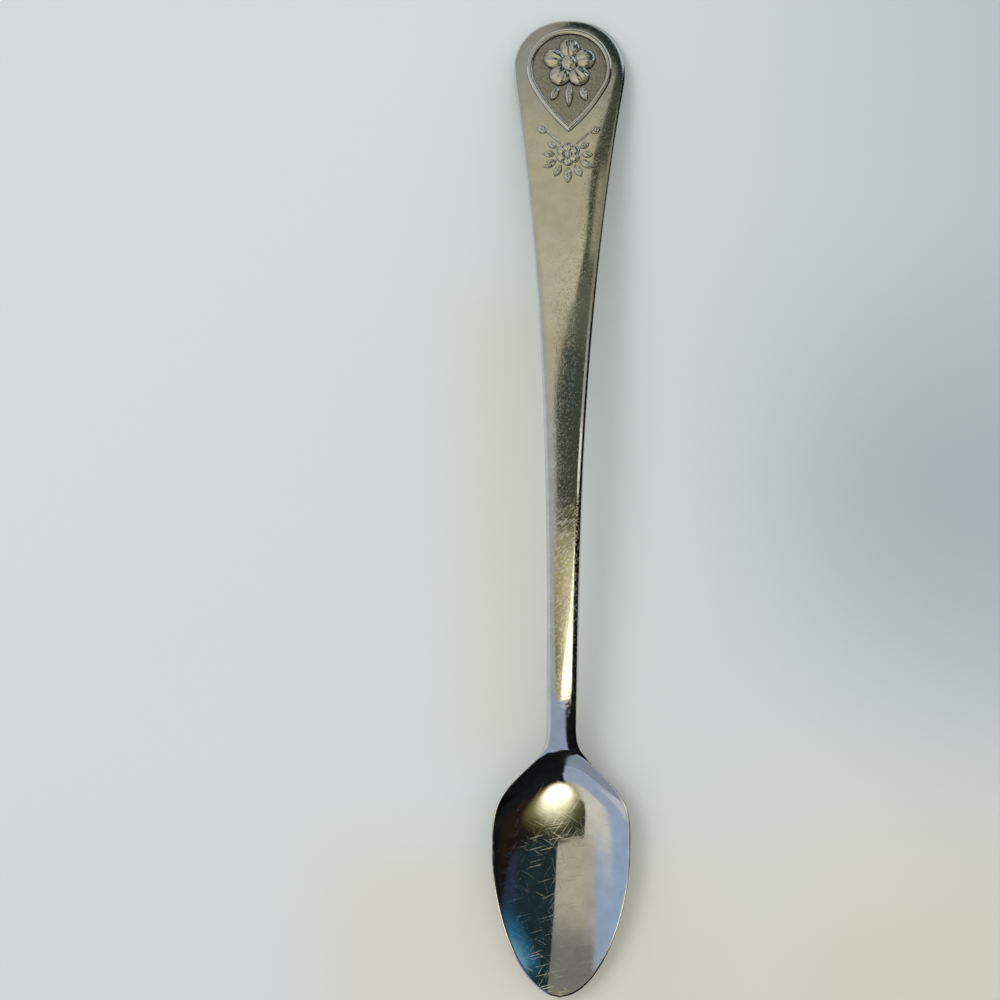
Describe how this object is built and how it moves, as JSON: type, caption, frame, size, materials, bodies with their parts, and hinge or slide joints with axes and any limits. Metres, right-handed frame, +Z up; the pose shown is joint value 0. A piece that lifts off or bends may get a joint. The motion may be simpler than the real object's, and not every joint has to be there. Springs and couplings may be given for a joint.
{
  "type": "baby spoon",
  "caption": "Long-handled infant feeding spoon of polished steel: narrow deep bowl, slim arched shank and flared round-ended handle with a raised floral medallion.",
  "frame": {"origin": "middle of the footprint on the table, halfway between the bowl's tip and the handle's end", "axes": "+Y from the bowl's tip to the handle's end, +Z up out of the bowl, +X to the right when seen from above with the bowl nearest"},
  "size_m": [0.0198, 0.14, 0.0112],
  "materials": {
    "polished_bowl": "mirror polish with fine scratches from use",
    "polished_stem": "polished, with fine lengthwise scratches",
    "worn_handle": "polish worn to a soft satin",
    "raised_ornament": "bright polish on the raised parts"
  },
  "bodies": {
    "root": {"bowl": "polished_bowl", "neck": "polished_stem", "shank": "polished_stem", "handle": "worn_handle", "medallion_rim": "raised_ornament", "medallion_blossom": "raised_ornament", "medallion_leaves": "raised_ornament", "spray_blossom": "raised_ornament", "spray_leaves": "raised_ornament", "spray_stems": "raised_ornament", "spray_buds": "raised_ornament"}
  },
  "joints": []
}
